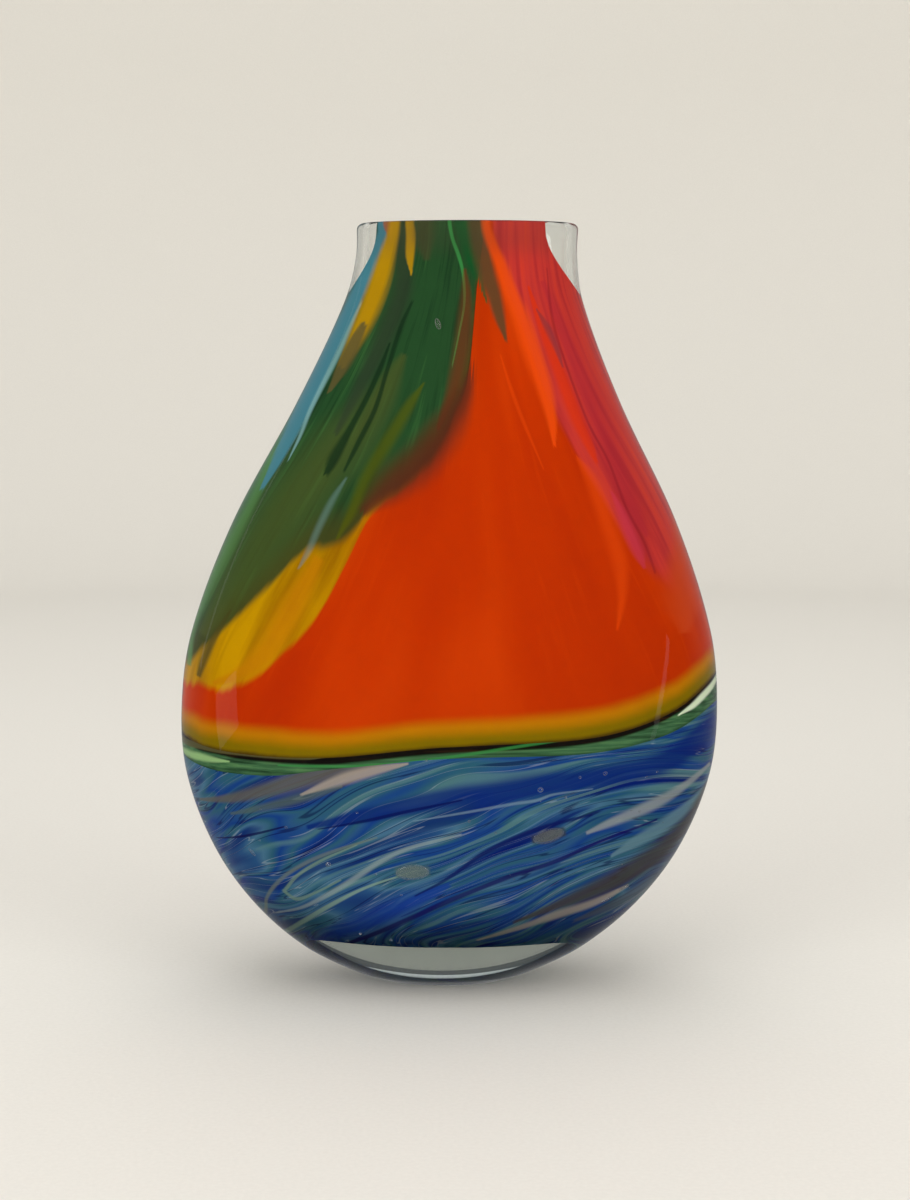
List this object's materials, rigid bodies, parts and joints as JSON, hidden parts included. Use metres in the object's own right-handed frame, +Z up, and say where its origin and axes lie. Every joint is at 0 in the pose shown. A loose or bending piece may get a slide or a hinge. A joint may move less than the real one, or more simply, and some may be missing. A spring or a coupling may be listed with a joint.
{
  "type": "hand blown art glass vase",
  "caption": "Flattened teardrop vase of cased blown glass, marbled blue below and orange with green and red streaks above, on a thick clear base.",
  "frame": {"origin": "on the table, under the middle of the vase", "axes": "+Z up through the mouth, +Y from the front broad face to the back, +X to the right of the front"},
  "size_m": [0.1992, 0.0966, 0.28],
  "materials": {
    "clear_glass": "fire polished, clear",
    "blue_glass": "marbled opaque colour inside clear glass",
    "green_glass": "opaque colour inside clear glass",
    "black_glass": "opaque colour inside clear glass",
    "amber_glass": "opaque colour inside clear glass",
    "orange_glass": "opaque colour inside clear glass",
    "yellow_glass": "opaque colour inside clear glass",
    "olive_glass": "opaque colour inside clear glass",
    "red_glass": "opaque colour inside clear glass",
    "sky_blue_glass": "opaque colour inside clear glass"
  },
  "bodies": {
    "root": {"clear_casing": "clear_glass", "clear_lining": "clear_glass", "blue_swirl_cup": "blue_glass", "green_wrap": "green_glass", "black_thread": "black_glass", "amber_band": "amber_glass", "orange_field": "orange_glass", "yellow_patch": "yellow_glass", "olive_edge": "olive_glass", "brown_edge": "olive_glass", "pink_edge": "red_glass", "green_panel": "green_glass", "blue_streak": "sky_blue_glass", "moss_panel": "green_glass", "red_panel": "red_glass"}
  },
  "joints": []
}
